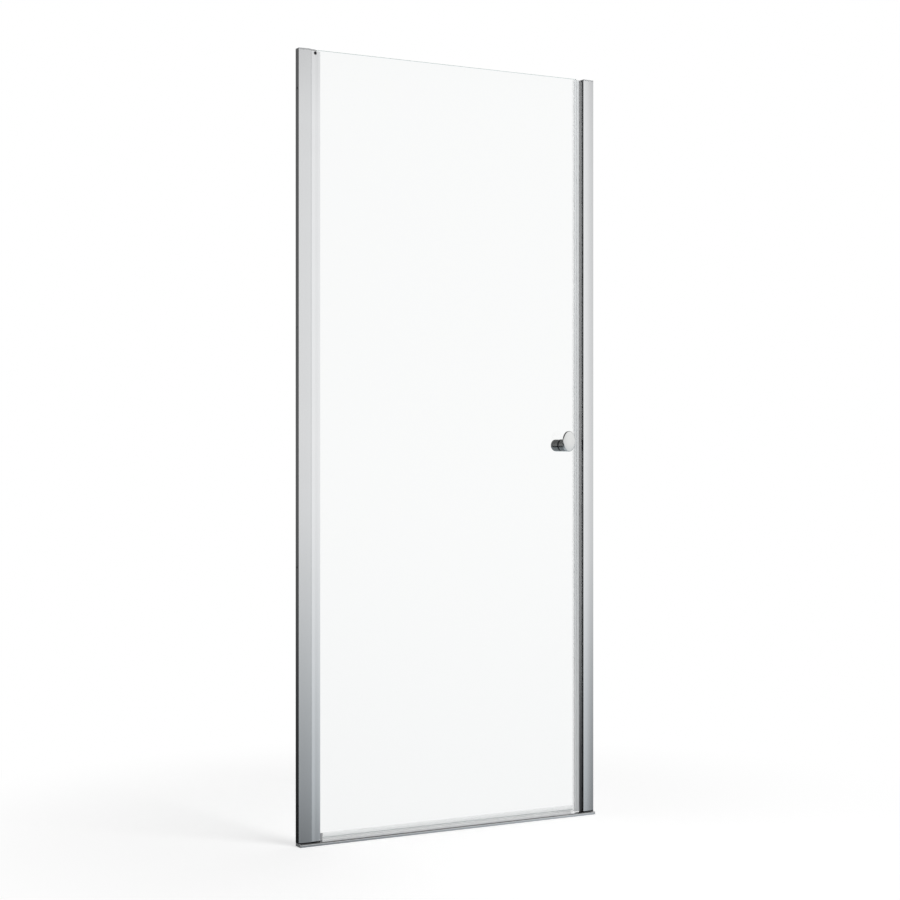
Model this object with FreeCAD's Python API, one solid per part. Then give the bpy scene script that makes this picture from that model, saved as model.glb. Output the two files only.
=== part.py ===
import FreeCAD, Part
import math
import os

os.makedirs("parts", exist_ok=True)

V = FreeCAD.Vector

# A pivot shower door for a niche between two walls. X runs along the door from the hinge wall
# to the latch wall, -Y faces the bathroom, +Y the shower, +Z is up. The origin lies on the
# underside of the threshold rail, half way between the walls, below the middle of the glass.

# ---------------------------------------------------------------------------------------------
# Driving dimensions, mm
# ---------------------------------------------------------------------------------------------
frame_width = 880.0
frame_height = 2000.0

# wall profiles: the same extrusion on both sides, open towards the door
profile_width = 33.0
profile_depth = 19.0
profile_bulge = 2.0
profile_wall = 1.6
profile_lip_radius = 0.5
wall_hole_radius = 2.75
wall_hole_end = 100.0
wall_hole_count = 4

# jambs that slide in the wall profiles
jamb_clearance = 0.3
jamb_adjustment = 6.4
jamb_wall = 1.5
jamb_recess = 6.2
port_radius = 3.0
port_bore_radius = 1.7
port_first = 5.2
port_last = 6.5
seal_slot_half = 1.5
seal_root_half = 2.8
seal_root_thick = 1.5

# threshold rail
rail_height = 8.0
rail_reach = 9.5
rail_wall = 1.5
rail_front_radius = 3.0
rail_rear_radius = 1.0
rail_cap_thick = 1.5
foot_pad_thick = 2.4

# pivot profile, the stile of the door leaf: a barrel about the axis, bowed front and back
pivot_inset = 45.0
barrel_radius = 15.8
barrel_gap = 0.4
barrel_edge_radius = 0.6
stile_wall = 1.8
chamber_reach = 5.0
stile_web = 1.8
glass_slot_depth = 8.8
clamp_lip = 2.5
clamp_lip_radius = 0.8
glass_edge_gap = 0.6

# glass and its gaskets
glass_thick = 6.0
glass_corner = 1.0
gasket_thick = 1.0
gasket_bead = 0.8
setting_block_height = 5.7
setting_block_gap = 0.3

# bearings
pin_radius = 3.0
pin_clearance = 0.05
pin_grip = 22.0
bush_radius = 4.6
bush_flange_radius = 8.0
bush_flange = 1.0
press_gap = 0.02
plug_length = 35.0
plug_clearance = 0.15
foot_plate = 1.5
thrust_gap = 0.3
top_gap = 0.5
plate_thick = 2.5
plate_margin = 4.0
arm_half = 6.0
cap_cover = 1.5
pocket_clearance = 0.3
bearing_block_half = 19.0
bearing_block_clearance = 0.2
pin_floor = 0.5

# lock screw of the top pivot, seen as a dark spot on the front of the stile
lock_drop = 5.5
lock_head_radius = 4.2
lock_head_height = 3.0
lock_head_sunk = 0.7
lock_shank_radius = 2.5
lock_clearance = 0.15

# magnetic closure
magnet_gap = 0.3
strike_reach = 8.7
strike_half = 5.0
stop_lip = 1.5
stop_overlap = 5.0
seal_box = 8.7
seal_web = 1.0
seal_leg = 1.0
seal_leg_length = 9.5
seal_box_extra = 0.5
seal_skin = 0.8
magnet_thick = 3.0
magnet_slack = 0.05
seal_edge_gap = 0.3
seal_top_drop = 2.5

# drip seal under the glass
drip_leg = 12.5
drip_web = 1.0
drip_fin = 1.0
drip_gap = 0.5
drip_vane_reach = 5.0
seal_end_gap = 0.3
drip_end_width = 6.5
drip_end_half = 5.0
drip_end_drop = 1.5

# knob set
knob_inset = 40.0
knob_height = 1005.0
knob_radius = 17.0
knob_stem = 22.5
knob_plate_width = 37.0
knob_plate_height = 55.5
knob_plate_thick = 6.0
knob_plate_round = 1.8
inner_knob_depth = 41.0
inner_knob_round = 11.0
washer_radius = 15.0
washer_thick = 1.5
glass_hole_radius = 6.0
sleeve_clearance = 0.2
stud_radius = 3.0
stud_clearance = 0.02
stud_bite = 13.0
grub_radius = 2.0
grub_place = 12.0
plate_screw_offset = 9.5
plate_screw_radius = 1.5
plate_screw_bite = 3.5

# small screws
screw_radius = 1.65
screw_head_radius = 3.3
screw_head_height = 1.6
screw_bite = 18.0
block_screw_offset = 14.0
access_hole_radius = 4.2
jamb_screw_end = 200.0
jamb_screw_count = 3
jamb_screw_radius = 1.75
jamb_screw_length = 7.0
jamb_screw_clearance = 0.35
cover_radius = 5.4
cover_height = 2.7
cover_wall = 0.9
counterbore_gap = 0.2
counterbore_floor = 2.3
drive_depth_share = 0.6
drive_radius_share = 0.5

# ---------------------------------------------------------------------------------------------
# Places worked out from them
# ---------------------------------------------------------------------------------------------
hinge_wall = -frame_width / 2
latch_wall = frame_width / 2
half_depth = profile_depth / 2
outer_half = half_depth + profile_bulge
channel_half = half_depth - profile_wall
hinge_mouth = hinge_wall + profile_width
latch_mouth = latch_wall - profile_width

cap_height = plate_thick + cap_cover
rail_top = rail_height
profile_bottom = rail_top + foot_pad_thick
profile_top = frame_height - cap_height

jamb_start = profile_wall + jamb_adjustment
jamb_face = profile_width - jamb_recess
jamb_half = channel_half - jamb_clearance
ports = (jamb_start + port_first, jamb_face - port_last)
jamb_screw_place = sum(ports) / 2

pivot_x = hinge_wall + pivot_inset
chamber_end = pivot_x + chamber_reach
slot_start = chamber_end + stile_web
stile_end = slot_start + glass_slot_depth
slot_half = glass_thick / 2 + gasket_thick
clamp_half = slot_half + clamp_lip
crest_x = pivot_x - math.sqrt(barrel_radius ** 2 - outer_half ** 2)
stile_run = stile_end - crest_x
stile_fall = outer_half - clamp_half
bow_radius = (stile_run ** 2 + stile_fall ** 2) / (2 * stile_fall)
stile_bottom = rail_top + bush_flange + thrust_gap + foot_plate
stile_top = profile_top - top_gap

glass_half = glass_thick / 2
glass_start = slot_start + glass_edge_gap
glass_bottom = stile_bottom + setting_block_height
glass_top = frame_height

strike_face = latch_mouth - strike_reach
seal_face = strike_face - magnet_gap
seal_back = seal_face - seal_box
glass_end = seal_back - seal_web - seal_edge_gap
seal_leg_start = glass_end - seal_leg_length
seal_half = glass_half + seal_leg + seal_box_extra

knob_x = glass_end - knob_inset
knob_z = knob_height
glass_front = -glass_half
glass_back = glass_half


# ---------------------------------------------------------------------------------------------
# Helpers
# ---------------------------------------------------------------------------------------------
same_place = 1e-6


def box(x0, x1, y0, y1, z0, z1):
    """A block between two corners."""
    return Part.makeBox(x1 - x0, y1 - y0, z1 - z0, V(x0, y0, z0))


def rod(radius, start, end):
    """A round bar from one point to another."""
    way = end - start
    return Part.makeCylinder(radius, way.Length, start, way)


def upright(edges, z0, z1):
    """A prism between two heights on a closed outline drawn at height zero."""
    face = Part.Face(Part.Wire(Part.__sortEdges__(edges)))
    face.translate(V(0, 0, z0))
    return face.extrude(V(0, 0, z1 - z0))


def polygon(points):
    """The edges of a closed outline through flat points."""
    corners = [V(x, y, 0) for x, y in points]
    pairs = zip(corners, corners[1:] + corners[:1])
    return [Part.makeLine(a, b) for a, b in pairs]


def lengthwise(points, x0, x1):
    """A prism along X on a closed outline of (y, z) points."""
    corners = [V(x0, y, z) for y, z in points]
    face = Part.Face(Part.makePolygon(corners + corners[:1]))
    return face.extrude(V(x1 - x0, 0, 0))


def one(shape):
    """A boolean's result as its single solid, or as the group of its solids."""
    clean = shape.removeSplitter()
    if len(clean.Solids) == 1:
        return clean.Solids[0]
    return Part.makeCompound(clean.Solids)


def group(solids):
    return Part.makeCompound(solids)


def edges_at(shape, axis, place):
    """The edges whose centre lies at one place along an axis."""
    return [edge for edge in shape.Edges
            if abs(getattr(edge.CenterOfMass, axis) - place) < same_place]


def upright_edges_at(shape, x):
    """The corners that run the full height of an upright prism, at one place along X."""
    return [edge for edge in edges_at(shape, "x", x)
            if edge.BoundBox.ZLength > shape.BoundBox.ZLength / 2]


def mirrored(shape):
    """The same piece on the other side of the door."""
    return shape.mirror(V(0, 0, 0), V(1, 0, 0))


def evenly(first, last, count):
    """Places at equal steps from the first to the last."""
    step = (last - first) / (count - 1)
    return [first + step * i for i in range(count)]


def screw(head_at, tip, head_radius, head_height, shank_radius, countersunk):
    """A screw whose head starts at one point and whose shank ends at the tip."""
    way = tip - head_at
    way.normalize()
    under = head_at + way * head_height
    if countersunk:
        head = Part.makeCone(head_radius, shank_radius, head_height, head_at, way)
    else:
        head = Part.makeCylinder(head_radius, head_height, head_at, way)
    shank = rod(shank_radius, under, tip)
    depth = head_height * drive_depth_share
    drive = Part.makeCylinder(head_radius * drive_radius_share, depth, head_at, way)
    return one(head.fuse(shank).cut(drive))


def save(name, shape):
    shape.exportStep("parts/" + name + ".step")


# ---------------------------------------------------------------------------------------------
# Frame: what is fixed to the walls and the shower tray
# ---------------------------------------------------------------------------------------------
def profile_outline():
    """Outer outline of a wall profile at the hinge side, softly rounded front and back."""
    wall, mouth, lip = hinge_wall, hinge_mouth, profile_lip_radius
    side_run = profile_width - lip
    rise = profile_bulge
    bow = (side_run ** 2 + rise ** 2) / (2 * rise)
    mid = side_run / 2
    mid_rise = math.sqrt(bow ** 2 - (side_run - mid) ** 2) - (bow - rise)
    edges = []
    for side in (-1, 1):
        corner = V(wall, side * half_depth, 0)
        middle = V(wall + mid, side * (half_depth + mid_rise), 0)
        crest = V(mouth - lip, side * outer_half, 0)
        turn = lip * math.sin(math.radians(45))
        round_mid = V(mouth - lip + turn, side * (outer_half - lip + turn), 0)
        round_end = V(mouth, side * (outer_half - lip), 0)
        edges.append(Part.Arc(corner, middle, crest).toShape())
        edges.append(Part.Arc(crest, round_mid, round_end).toShape())
    low, high = -(outer_half - lip), outer_half - lip
    edges.append(Part.makeLine(V(wall, -half_depth, 0), V(wall, half_depth, 0)))
    edges.append(Part.makeLine(V(mouth, low, 0), V(mouth, high, 0)))
    return edges


def barrel_room(z0, z1):
    """The space that the turning barrel needs at the hinge profile's mouth."""
    return rod(barrel_radius + barrel_gap, V(pivot_x, 0, z0), V(pivot_x, 0, z1))


def jamb_screw_heights():
    return evenly(jamb_screw_end, frame_height - jamb_screw_end, jamb_screw_count)


def wall_profile():
    """Channel screwed to the wall, hollowed at its mouth to let the barrel turn."""
    body = upright(profile_outline(), profile_bottom, profile_top)
    channel = box(hinge_wall + profile_wall, hinge_mouth, -channel_half, channel_half,
                  profile_bottom, profile_top)
    body = body.cut(channel).cut(barrel_room(profile_bottom, profile_top))
    for z in evenly(wall_hole_end, frame_height - wall_hole_end, wall_hole_count):
        start = V(hinge_wall, 0, z)
        body = body.cut(rod(wall_hole_radius, start, start + V(profile_wall, 0, 0)))
    seat = channel_half + counterbore_floor
    x = hinge_wall + jamb_screw_place
    for z in jamb_screw_heights():
        pocket = rod(cover_radius + counterbore_gap, V(x, seat, z), V(x, outer_half, z))
        hole = rod(jamb_screw_radius + jamb_screw_clearance, V(x, channel_half, z), V(x, seat, z))
        body = body.cut(pocket).cut(hole)
    return one(body)


def jamb():
    """Box section that slides in the wall profile: two screw ports and a slot for a seal."""
    x0, x1 = hinge_wall + jamb_start, hinge_wall + jamb_face
    bottom, top = profile_bottom, profile_top
    inner = jamb_half - jamb_wall
    body = box(x0, x1, -jamb_half, jamb_half, bottom, top)
    body = body.cut(box(x0 + jamb_wall, x1 - jamb_wall, -inner, inner, bottom, top))
    for u in ports:
        x = hinge_wall + u
        web = box(x - jamb_wall / 2, x + jamb_wall / 2, -inner, inner, bottom, top)
        tube = rod(port_radius, V(x, 0, bottom), V(x, 0, top))
        bore = rod(port_bore_radius, V(x, 0, bottom), V(x, 0, top))
        body = body.fuse(web).fuse(tube).cut(bore)
    body = body.cut(box(x1 - jamb_wall, x1, -seal_slot_half, seal_slot_half, bottom, top))
    x = hinge_wall + jamb_screw_place
    for z in jamb_screw_heights():
        hole = rod(jamb_screw_radius + press_gap, V(x, inner, z), V(x, jamb_half, z))
        body = body.cut(hole)
    return one(body)


def slot_root():
    """The part of a seal that is held in a jamb's slot."""
    x1 = hinge_wall + jamb_face
    inside = x1 - jamb_wall
    neck = seal_slot_half - press_gap
    root = box(inside - seal_root_thick, inside, -seal_root_half, seal_root_half,
               profile_bottom, profile_top)
    return root.fuse(box(inside, x1, -neck, neck, profile_bottom, profile_top))


def wiper_seal():
    """Slim strip on the hinge jamb that closes the gap beside the turning stile."""
    x1 = hinge_wall + jamb_face
    lip = box(x1, pivot_x - barrel_radius - thrust_gap, -seal_root_half, seal_root_half,
              profile_bottom, profile_top)
    return one(slot_root().fuse(lip))


def strike_magnet_box(slack):
    face = strike_face + seal_skin
    half = strike_half - seal_skin - magnet_slack + slack
    return box(face - slack, face + magnet_thick + slack, -half, half,
               profile_bottom, profile_top)


def strike_gasket():
    """Dark gasket on the latch jamb: magnet pocket in front, stop lip behind the door edge."""
    x1 = latch_wall - jamb_face
    body = box(strike_face, x1, -strike_half, strike_half, profile_bottom, profile_top)
    stop_y = seal_half + thrust_gap
    lip = box(seal_face - stop_overlap, x1, stop_y, stop_y + stop_lip,
              profile_bottom, profile_top)
    body = body.fuse(lip).fuse(mirrored(slot_root()))
    return one(body.cut(strike_magnet_box(magnet_slack)))


def foot_pad():
    """Black pad under a wall profile, hollowed like it, with a hole for the rail screw."""
    pad = upright(profile_outline(), rail_top, profile_bottom)
    pad = pad.cut(barrel_room(rail_top, profile_bottom))
    x = hinge_wall + ports[0]
    hole = rod(port_bore_radius, V(x, 0, rail_top), V(x, 0, profile_bottom))
    return one(pad.cut(hole))


def arm_outline(half, start):
    """A strip along X with a round nose about the pivot axis."""
    nose = V(pivot_x + half, 0, 0)
    top, low = V(pivot_x, half, 0), V(pivot_x, -half, 0)
    edges = [Part.Arc(low, nose, top).toShape()]
    edges.append(Part.makeLine(top, V(start, half, 0)))
    edges.append(Part.makeLine(V(start, half, 0), V(start, -half, 0)))
    edges.append(Part.makeLine(V(start, -half, 0), low))
    return edges


def plate_screw_heads():
    return [V(hinge_wall + u, 0, profile_top + plate_thick) for u in ports]


def bearing_plate():
    """Steel plate on the hinge jamb that reaches over the stile and holds the top bush."""
    top = profile_top + plate_thick
    plate = upright(arm_outline(arm_half, hinge_wall + plate_margin), profile_top, top)
    hole = rod(bush_radius + press_gap, V(pivot_x, 0, profile_top), V(pivot_x, 0, top))
    plate = plate.cut(hole)
    for head in plate_screw_heads():
        cone = Part.makeCone(screw_head_radius + press_gap, screw_radius + press_gap,
                             screw_head_height, head, V(0, 0, -1))
        shank = rod(screw_radius + press_gap, V(head.x, 0, profile_top), head)
        plate = plate.cut(cone).cut(shank)
    return one(plate)


def top_bush():
    low, high = V(pivot_x, 0, profile_top), V(pivot_x, 0, profile_top + plate_thick)
    return one(rod(bush_radius, low, high).cut(rod(pin_radius + pin_clearance, low, high)))


def bearing_plate_screws():
    drop = V(0, 0, -screw_bite)
    made = []
    for head in plate_screw_heads():
        made.append(screw(head, head + drop, screw_head_radius, screw_head_height,
                          screw_radius, True))
    return group(made)


def cap_body():
    return upright(profile_outline(), profile_top, frame_height)


def hinge_cap():
    """Cap over the hinge profile, with a pocket and a nose over the bearing plate."""
    over = profile_top + plate_thick
    nose = upright(arm_outline(arm_half, hinge_mouth - profile_wall), over, frame_height)
    start = hinge_wall + plate_margin - pocket_clearance
    half = arm_half + pocket_clearance
    pocket = box(start, hinge_mouth, -half, half, profile_top, over)
    return one(cap_body().fuse(nose).cut(pocket))


def rail_outline():
    """Cross-section of the threshold as (y, z) edges, standing at the left end."""
    x = hinge_wall + rail_cap_thick
    front, rear, top = -half_depth - rail_reach, half_depth, rail_height
    rf, rr = rail_front_radius, rail_rear_radius
    tf, tr = rf * math.sin(math.radians(45)), rr * math.sin(math.radians(45))
    a, b = V(x, front, 0), V(x, front, top - rf)
    c = V(x, front + rf, top)
    d, e = V(x, rear - rr, top), V(x, rear, top - rr)
    f = V(x, rear, 0)
    front_mid = V(x, front + rf - tf, top - rf + tf)
    rear_mid = V(x, rear - rr + tr, top - rr + tr)
    return [
        Part.makeLine(a, b),
        Part.Arc(b, front_mid, c).toShape(),
        Part.makeLine(c, d),
        Part.Arc(d, rear_mid, e).toShape(),
        Part.makeLine(e, f),
        Part.makeLine(f, a),
    ]


def rail_screw_places():
    return [hinge_wall + ports[0], latch_wall - ports[0]]


def block_screw_places():
    return [pivot_x - block_screw_offset, pivot_x + block_screw_offset]


def rail_bar(x0, x1):
    """A length of the threshold's outer shape."""
    face = Part.Face(Part.Wire(Part.__sortEdges__(rail_outline())))
    face.translate(V(x0 - hinge_wall - rail_cap_thick, 0, 0))
    return face.extrude(V(x1 - x0, 0, 0))


def rail_hollow(x0, x1, slack):
    """The room inside the threshold, or what fills it with some slack."""
    front = -half_depth - rail_reach + rail_front_radius + slack
    rear = half_depth - rail_wall - slack
    return box(x0, x1, front, rear, rail_wall + slack, rail_height - rail_wall - slack)


def screw_seat(x, low):
    """Countersink and hole of a bearing block screw, from the top of the threshold down."""
    top = V(x, 0, rail_top)
    cone = Part.makeCone(screw_head_radius + press_gap, screw_radius + press_gap,
                         screw_head_height, top, V(0, 0, -1))
    return cone.fuse(rod(screw_radius + press_gap, V(x, 0, low), top))


def threshold_rail():
    x0, x1 = hinge_wall + rail_cap_thick, latch_wall - rail_cap_thick
    rail = rail_bar(x0, x1).cut(rail_hollow(x0, x1, 0))
    under = rail_height - rail_wall
    rail = rail.cut(rod(bush_radius + press_gap, V(pivot_x, 0, under), V(pivot_x, 0, rail_top)))
    for x in rail_screw_places():
        rail = rail.cut(rod(screw_radius + press_gap, V(x, 0, under), V(x, 0, rail_top)))
        rail = rail.cut(rod(access_hole_radius, V(x, 0, 0), V(x, 0, rail_wall)))
    for x in block_screw_places():
        rail = rail.cut(screw_seat(x, under))
    return one(rail)


def rail_end_caps():
    ends = ((hinge_wall, hinge_wall + rail_cap_thick), (latch_wall - rail_cap_thick, latch_wall))
    return group([rail_bar(x0, x1) for x0, x1 in ends])


def bottom_block():
    """Bearing block inside the threshold, under the pivot axis."""
    half = bearing_block_half
    block = rail_hollow(pivot_x - half, pivot_x + half, 0)
    slim = rail_hollow(pivot_x - half, pivot_x + half, bearing_block_clearance)
    floor, ceiling = slim.BoundBox.ZMin, block.BoundBox.ZMax
    block = slim.fuse(box(pivot_x - half, pivot_x + half, slim.BoundBox.YMin,
                          slim.BoundBox.YMax, floor, ceiling))
    block = block.cut(rod(bush_radius + press_gap, V(pivot_x, 0, floor), V(pivot_x, 0, ceiling)))
    for x in block_screw_places():
        block = block.cut(screw_seat(x, floor))
    return one(block)


def bottom_bush():
    """Flanged bush in the threshold that carries the door's weight."""
    low = V(pivot_x, 0, rail_wall + bearing_block_clearance)
    seat = V(pivot_x, 0, rail_top)
    high = seat + V(0, 0, bush_flange)
    bush = rod(bush_radius, low, high).fuse(rod(bush_flange_radius, seat, high))
    return one(bush.cut(rod(pin_radius + pin_clearance, low, high)))


def bearing_block_screws():
    made = []
    for x in block_screw_places():
        head = V(x, 0, rail_top)
        tip = V(x, 0, rail_wall + bearing_block_clearance)
        made.append(screw(head, tip, screw_head_radius, screw_head_height, screw_radius, True))
    return group(made)


def rail_screws():
    """One screw at each end that draws the threshold up to a jamb's port."""
    under = rail_height - rail_wall
    made = []
    for x in rail_screw_places():
        head = V(x, 0, under - screw_head_height)
        tip = V(x, 0, profile_bottom + screw_bite)
        made.append(screw(head, tip, screw_head_radius, screw_head_height, screw_radius, False))
    return group(made)


def both_sides(solids):
    return group(solids + [mirrored(solid) for solid in solids])


def jamb_screws():
    seat = channel_half + counterbore_floor
    x = hinge_wall + jamb_screw_place
    made = []
    for z in jamb_screw_heights():
        head = V(x, seat + screw_head_height, z)
        tip = V(x, seat - jamb_screw_length, z)
        made.append(screw(head, tip, screw_head_radius, screw_head_height,
                          jamb_screw_radius, False))
    return both_sides(made)


def jamb_screw_covers():
    seat = channel_half + counterbore_floor
    x = hinge_wall + jamb_screw_place
    made = []
    for z in jamb_screw_heights():
        cover = rod(cover_radius, V(x, seat, z), V(x, seat + cover_height, z))
        rim = edges_at(cover, "y", seat + cover_height)
        cover = cover.makeFillet(cover_wall, rim)
        room = rod(screw_head_radius + press_gap, V(x, seat, z),
                   V(x, seat + cover_height - cover_wall, z))
        made.append(one(cover.cut(room)))
    return both_sides(made)


# ---------------------------------------------------------------------------------------------
# Door: what turns about the pivot axis
# ---------------------------------------------------------------------------------------------
def bowed(z0, z1, inset, end):
    """The stile's outline between its bowed faces, set in from the skin and cut off at the end."""
    lens = box(pivot_x - barrel_radius, end, -outer_half, outer_half, z0, z1)
    for side in (-1, 1):
        y = side * (bow_radius - outer_half)
        lens = lens.common(rod(bow_radius - inset, V(crest_x, y, z0), V(crest_x, y, z1)))
    nose = rod(barrel_radius - inset, V(pivot_x, 0, z0), V(pivot_x, 0, z1))
    nose = nose.fuse(box(pivot_x, end, -barrel_radius, barrel_radius, z0, z1))
    return one(lens.common(nose))


def stile_solid(z0, z1):
    """Outer shape of the stile: the barrel runs out into the two lips of the glass clamp."""
    stile = bowed(z0, z1, 0, stile_end)
    lips = upright_edges_at(stile, stile_end)
    crests = upright_edges_at(stile, crest_x)
    return stile.makeFillet(clamp_lip_radius, lips).makeFillet(barrel_edge_radius, crests)


def chamber(z0, z1, slack):
    """The hollow of the stile, or a plug that fills it with some slack."""
    return bowed(z0, z1, stile_wall + slack, chamber_end - slack)


def lock_axis(y):
    return V(pivot_x, y, stile_top - lock_drop)


def lock_head_tip():
    """Where the lock screw's head begins, just below the bowed front face."""
    fall = bow_radius - math.sqrt(bow_radius ** 2 - (pivot_x - crest_x) ** 2)
    return lock_head_sunk + fall - outer_half


def pivot_profile():
    stile = stile_solid(stile_bottom, stile_top)
    stile = stile.cut(chamber(stile_bottom, stile_top, 0))
    stile = stile.cut(box(slot_start, stile_end, -slot_half, slot_half, stile_bottom, stile_top))
    hole = rod(lock_head_radius + lock_clearance, lock_axis(-outer_half), lock_axis(-pin_radius))
    return one(stile.cut(hole))


def glass_panel():
    """Toughened pane with a hole for the knob."""
    pane = box(glass_start, glass_end, glass_front, glass_back, glass_bottom, glass_top)
    along_edge = [edge for edge in pane.Edges if edge.BoundBox.YLength > glass_half]
    pane = pane.makeFillet(glass_corner, along_edge)
    hole = rod(glass_hole_radius, V(knob_x, glass_front, knob_z), V(knob_x, glass_back, knob_z))
    return one(pane.cut(hole))


def glazing_gasket(side):
    """Clear strip between the glass and one lip of the stile, with a bead outside it."""
    strip = box(slot_start, stile_end + gasket_bead, glass_half, slot_half,
                glass_bottom, stile_top)
    if side < 0:
        strip = strip.mirror(V(0, 0, 0), V(0, 1, 0))
    return strip


def setting_block():
    """Plastic block in the stile's slot that the pane stands on."""
    half = slot_half - setting_block_gap
    return box(slot_start + setting_block_gap, stile_end - setting_block_gap, -half, half,
               stile_bottom, glass_bottom)


def top_plug():
    """Block in the top of the stile: bore for the pin and thread for the lock screw."""
    low = stile_top - plug_length
    plug = chamber(low, stile_top, plug_clearance)
    bore = rod(pin_radius + press_gap, V(pivot_x, 0, stile_top - pin_grip), V(pivot_x, 0, stile_top))
    head_end = lock_head_tip() + lock_head_height
    head_room = rod(lock_head_radius + lock_clearance, lock_axis(-outer_half), lock_axis(head_end))
    thread = rod(lock_shank_radius + press_gap, lock_axis(head_end), lock_axis(-pin_radius / 2))
    return one(plug.cut(bore).cut(head_room).cut(thread))


def top_pin():
    """Steel pin, pushed up into the bush of the bearing plate and locked."""
    top = profile_top + plate_thick - pin_floor
    return rod(pin_radius, V(pivot_x, 0, stile_top - pin_grip), V(pivot_x, 0, top))


def lock_screw():
    start = lock_axis(lock_head_tip())
    tip = lock_axis(-pin_radius - press_gap)
    return screw(start, tip, lock_head_radius, lock_head_height, lock_shank_radius, False)


def bottom_plug():
    """Black block in the foot of the stile, with a plate that covers the stile's end."""
    plate = stile_solid(stile_bottom - foot_plate, stile_bottom)
    plug = chamber(stile_bottom, stile_bottom + plug_length, plug_clearance)
    low = V(pivot_x, 0, stile_bottom - foot_plate)
    bore = rod(pin_radius + press_gap, low, V(pivot_x, 0, stile_bottom + pin_grip))
    return one(plate.fuse(plug).cut(bore))


def bottom_pin():
    low = V(pivot_x, 0, rail_wall + bearing_block_clearance + pin_floor)
    return rod(pin_radius, low, V(pivot_x, 0, stile_bottom + pin_grip))


def door_magnet_box(slack):
    face = seal_face - seal_skin
    half = seal_half - seal_skin - magnet_slack + slack
    return box(face - magnet_thick - slack, face + slack, -half, half,
               rail_top + foot_pad_thick, glass_top - seal_top_drop)


def magnetic_seal():
    """Clear seal clipped on the free edge of the glass, with a magnet in its box."""
    low, high = rail_top + foot_pad_thick, glass_top - seal_top_drop
    body = box(seal_back, seal_face, -seal_half, seal_half, low, high)
    web_start = glass_end + seal_edge_gap
    outer = glass_half + seal_leg
    clip = box(seal_leg_start, seal_back, -outer, outer, low, high)
    gap = box(seal_leg_start, web_start, -glass_half, glass_half, low, high)
    inner = seal_half - seal_skin
    rest = seal_face - 2 * seal_skin - magnet_thick
    room = box(seal_back + seal_skin, rest, -inner, inner, low, high)
    body = body.fuse(clip).cut(gap).cut(room)
    return one(body.cut(door_magnet_box(magnet_slack)))


def drip_span():
    """Start and end of the drip seal: from its end block to the magnetic seal."""
    start = stile_end + gasket_bead + press_gap + drip_end_width
    return start, seal_leg_start - seal_end_gap


def drip_seal():
    """Clear seal clipped under the glass: front fin and a vane that slopes into the shower."""
    x0, x1 = drip_span()
    inner, outer = glass_half, glass_half + drip_fin
    top, web = glass_bottom + drip_leg, glass_bottom - drip_web
    low = rail_top + drip_gap
    vane = inner + drip_vane_reach
    points = [
        (-outer, low), (-inner, low), (-inner, web), (inner, web),
        (vane - drip_fin, low), (vane, low), (outer, web + drip_fin), (outer, top),
        (inner, top), (inner, glass_bottom), (-inner, glass_bottom), (-inner, top),
        (-outer, top),
    ]
    return lengthwise(points, x0, x1)


def drip_seal_end():
    """Grey block at the foot of the stile that closes the end of the drip seal."""
    x1 = drip_span()[0]
    x0 = x1 - drip_end_width
    top = glass_bottom + drip_leg - drip_end_drop
    block = box(x0, x1, -drip_end_half, drip_end_half, rail_top + drip_gap, top)
    return one(block.cut(box(x0, x1, glass_front, glass_back, glass_bottom, top)))


# ---------------------------------------------------------------------------------------------
# Knob set
# ---------------------------------------------------------------------------------------------
stem_back = glass_front - washer_thick
stem_front = stem_back - knob_stem
plate_front = stem_front - knob_plate_thick
inner_start = glass_back + washer_thick
inner_end = inner_start + inner_knob_depth


def knob_rod(radius, y0, y1):
    return rod(radius, V(knob_x, y0, knob_z), V(knob_x, y1, knob_z))


def washer(y0):
    ring = knob_rod(washer_radius, y0, y0 + washer_thick)
    return one(ring.cut(knob_rod(glass_hole_radius, y0, y0 + washer_thick)))


def knob_sleeve():
    """Clear sleeve in the glass hole, so that the stud never touches the glass."""
    y0, y1 = stem_back, inner_start
    sleeve = knob_rod(glass_hole_radius - sleeve_clearance, y0, y1)
    return one(sleeve.cut(knob_rod(stud_radius + stud_clearance, y0, y1)))


def knob_stud():
    return knob_rod(stud_radius, stem_back - stud_bite, inner_start + stud_bite)


def plate_screw_lines():
    return [knob_x - plate_screw_offset, knob_x + plate_screw_offset]


def outer_stem():
    """Round stem of the outer knob."""
    stem = knob_rod(knob_radius, stem_back, stem_front)
    stem = stem.cut(knob_rod(stud_radius + stud_clearance, stem_back, stem_back - stud_bite))
    for x in plate_screw_lines():
        head = V(x, stem_back, knob_z)
        under = V(x, stem_back - screw_head_height, knob_z)
        stem = stem.cut(rod(screw_head_radius + press_gap, head, under))
        stem = stem.cut(rod(plate_screw_radius + press_gap, head, V(x, stem_front, knob_z)))
    return one(stem)


def knob_plate():
    """Oval finger plate on the stem; their lower edges are level."""
    centre = V(knob_x, stem_front, knob_z - knob_radius + knob_plate_height / 2)
    oval = Part.Ellipse(V(0, 0, 0), knob_plate_height / 2, knob_plate_width / 2).toShape()
    face = Part.Face(Part.Wire([oval]))
    face.rotate(V(0, 0, 0), V(0, 0, 1), 90)
    face.rotate(V(0, 0, 0), V(1, 0, 0), 90)
    face.translate(centre)
    plate = face.extrude(V(0, -knob_plate_thick, 0))
    rim = [edge for edge in plate.Edges if edge.BoundBox.YLength < knob_plate_thick / 2]
    plate = plate.makeFillet(knob_plate_round, rim)
    for x in plate_screw_lines():
        end = V(x, stem_front - plate_screw_bite, knob_z)
        plate = plate.cut(rod(plate_screw_radius + press_gap, V(x, stem_front, knob_z), end))
    return one(plate)


def knob_plate_screws():
    made = []
    for x in plate_screw_lines():
        tip = V(x, stem_front - plate_screw_bite, knob_z)
        made.append(screw(V(x, stem_back, knob_z), tip, screw_head_radius, screw_head_height,
                          plate_screw_radius, False))
    return group(made)


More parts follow.
